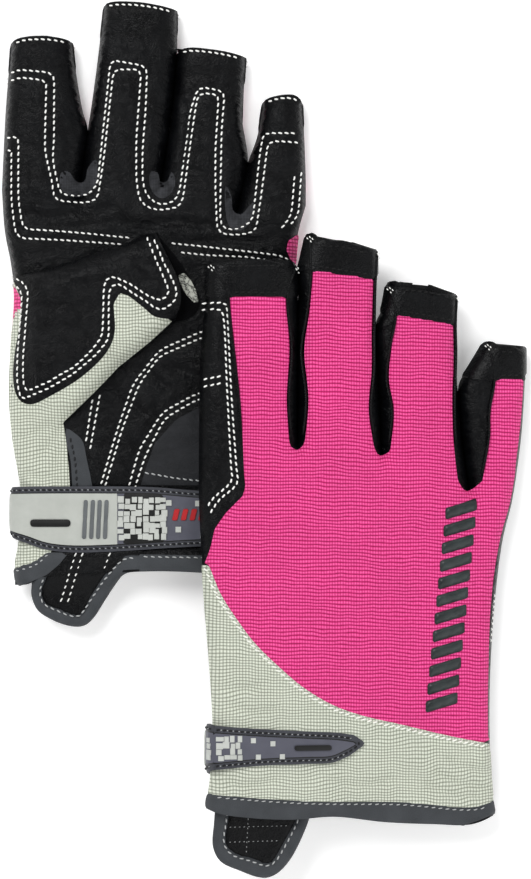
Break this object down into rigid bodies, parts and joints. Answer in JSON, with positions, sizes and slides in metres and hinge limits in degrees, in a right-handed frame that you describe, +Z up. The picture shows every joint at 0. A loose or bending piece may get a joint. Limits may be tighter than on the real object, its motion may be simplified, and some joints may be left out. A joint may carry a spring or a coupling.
{
  "type": "sailing gloves",
  "caption": "Pair of short-finger sailing gloves with leather palms, stretch fabric backs, wrist straps and pull tabs, laid one partly over the other.",
  "frame": {"origin": "centre of the pair's footprint, on the surface that it lies on", "axes": "+Y towards the fingertips of both gloves, +X from the thumb edges to the little finger edges, +Z up; the left glove lies palm up and the right glove palm down"},
  "size_m": [0.1702, 0.2808, 0.0281],
  "materials": {
    "stretch_fabric": "woven stretch fabric, bright pink",
    "cuff_fabric": "pale woven stretch fabric",
    "palm_leather": "soft black leather, fine grain",
    "gusset_fabric": "dark grey stretch fabric",
    "binding_tape": "slate grey woven binding",
    "strap_print": "matte moulded rubber with raised marks",
    "hook_loop": "hook and loop pile"
  },
  "bodies": {
    "left_hand": {"left_back_panel": "stretch_fabric", "left_cuff_panel": "cuff_fabric", "left_palm_panel": "palm_leather", "left_palm_overlay": "palm_leather", "left_radial_sidewall": "palm_leather", "left_ulnar_sidewall": "palm_leather", "left_fourchettes": "gusset_fabric", "left_wrist_binding": "binding_tape", "left_strap_base": "binding_tape", "left_strap_face": "strap_print", "left_loop_pad": "hook_loop"},
    "left_index": {"left_index_shell": "palm_leather", "left_index_back": "stretch_fabric", "left_index_band": "palm_leather"},
    "left_middle": {"left_middle_shell": "palm_leather", "left_middle_back": "stretch_fabric", "left_middle_band": "palm_leather"},
    "left_ring": {"left_ring_shell": "palm_leather", "left_ring_back": "stretch_fabric", "left_ring_band": "palm_leather"},
    "left_little": {"left_little_shell": "palm_leather", "left_little_back": "stretch_fabric", "left_little_band": "palm_leather"},
    "left_thumb": {"left_thumb_shell": "palm_leather", "left_thumb_gusset": "cuff_fabric", "left_thumb_band": "binding_tape"},
    "left_flap": {"left_strap_flap": "binding_tape", "left_hook_pad": "hook_loop"},
    "left_tab": {"left_pull_tab": "palm_leather", "left_pull_tab_binding": "binding_tape"},
    "right_hand": {"right_back_panel": "stretch_fabric", "right_cuff_panel": "cuff_fabric", "right_palm_panel": "palm_leather", "right_palm_overlay": "palm_leather", "right_radial_sidewall": "palm_leather", "right_ulnar_sidewall": "palm_leather", "right_fourchettes": "gusset_fabric", "right_wrist_binding": "binding_tape", "right_strap_base": "binding_tape", "right_strap_face": "strap_print", "right_loop_pad": "hook_loop"},
    "right_index": {"right_index_shell": "palm_leather", "right_index_back": "stretch_fabric", "right_index_band": "palm_leather"},
    "right_middle": {"right_middle_shell": "palm_leather", "right_middle_back": "stretch_fabric", "right_middle_band": "palm_leather"},
    "right_ring": {"right_ring_shell": "palm_leather", "right_ring_back": "stretch_fabric", "right_ring_band": "palm_leather"},
    "right_little": {"right_little_shell": "palm_leather", "right_little_back": "stretch_fabric", "right_little_band": "palm_leather"},
    "right_thumb": {"right_thumb_shell": "palm_leather", "right_thumb_gusset": "cuff_fabric", "right_thumb_band": "binding_tape"},
    "right_flap": {"right_strap_flap": "binding_tape", "right_hook_pad": "hook_loop"},
    "right_tab": {"right_pull_tab": "palm_leather", "right_pull_tab_binding": "binding_tape"}
  },
  "joints": [
    {"name": "left_index_bend", "type": "hinge", "parent": "left_hand", "child": "left_index", "pos_m": [-0.07281, 0.08115, 0.00972], "axis": [1, 0, 0], "range_deg": [0, 85]},
    {"name": "left_middle_bend", "type": "hinge", "parent": "left_hand", "child": "left_middle", "pos_m": [-0.04626, 0.08315, 0.00969], "axis": [1, 0, 0], "range_deg": [0, 85]},
    {"name": "left_ring_bend", "type": "hinge", "parent": "left_hand", "child": "left_ring", "pos_m": [-0.02051, 0.08015, 0.00974], "axis": [1, 0, 0], "range_deg": [0, 85]},
    {"name": "left_little_bend", "type": "hinge", "parent": "left_hand", "child": "left_little", "pos_m": [0.00269, 0.07616, 0.0098], "axis": [1, 0, 0], "range_deg": [0, 85]},
    {"name": "left_thumb_swing", "type": "hinge", "parent": "left_hand", "child": "left_thumb", "pos_m": [-0.08161, 0.03041, 0.01079], "axis": [0, -0.9999, 0.0152], "range_deg": [0, 110]},
    {"name": "left_strap_peel", "type": "hinge", "parent": "left_hand", "child": "left_flap", "pos_m": [-0.08001, -0.02584, 0.00075], "axis": [0, 0.9999, -0.0152], "range_deg": [0, 150]},
    {"name": "left_tab_flex", "type": "hinge", "parent": "left_hand", "child": "left_tab", "pos_m": [-0.05956, -0.04453, 0.00853], "axis": [-1, 0, 0], "range_deg": [-60, 60]},
    {"name": "right_glove_lift", "type": "slide", "parent": "left_hand", "child": "right_hand", "axis": [0, 0, 1], "range_m": [0, 0.12]},
    {"name": "right_index_bend", "type": "hinge", "parent": "right_hand", "child": "right_index", "pos_m": [-0.00457, 0.0005, 0.02401], "axis": [-0.9877, 0, 0.1564], "range_deg": [-85, 0]},
    {"name": "right_middle_bend", "type": "hinge", "parent": "right_hand", "child": "right_middle", "pos_m": [0.02496, 0.0005, 0.01933], "axis": [-0.9877, 0, 0.1564], "range_deg": [-85, 0]},
    {"name": "right_ring_bend", "type": "hinge", "parent": "right_hand", "child": "right_ring", "pos_m": [0.05074, -0.0025, 0.00634], "axis": [-0.9877, 0, 0.1564], "range_deg": [0, 85]},
    {"name": "right_little_bend", "type": "hinge", "parent": "right_hand", "child": "right_little", "pos_m": [0.07292, -0.0125, 0.00283], "axis": [-0.9877, 0, 0.1564], "range_deg": [0, 85]},
    {"name": "right_thumb_swing", "type": "hinge", "parent": "right_hand", "child": "right_thumb", "pos_m": [-0.01874, -0.07125, 0.01704], "axis": [0, 1, 0], "range_deg": [0, 110]},
    {"name": "right_strap_peel", "type": "hinge", "parent": "right_hand", "child": "right_flap", "pos_m": [-0.01683, -0.10135, 0.02778], "axis": [0, -1, 0], "range_deg": [0, 150]},
    {"name": "right_tab_flex", "type": "hinge", "parent": "right_hand", "child": "right_tab", "pos_m": [-0.00013, -0.12115, 0.01754], "axis": [0.9877, 0, -0.1564], "range_deg": [-60, 60]}
  ]
}
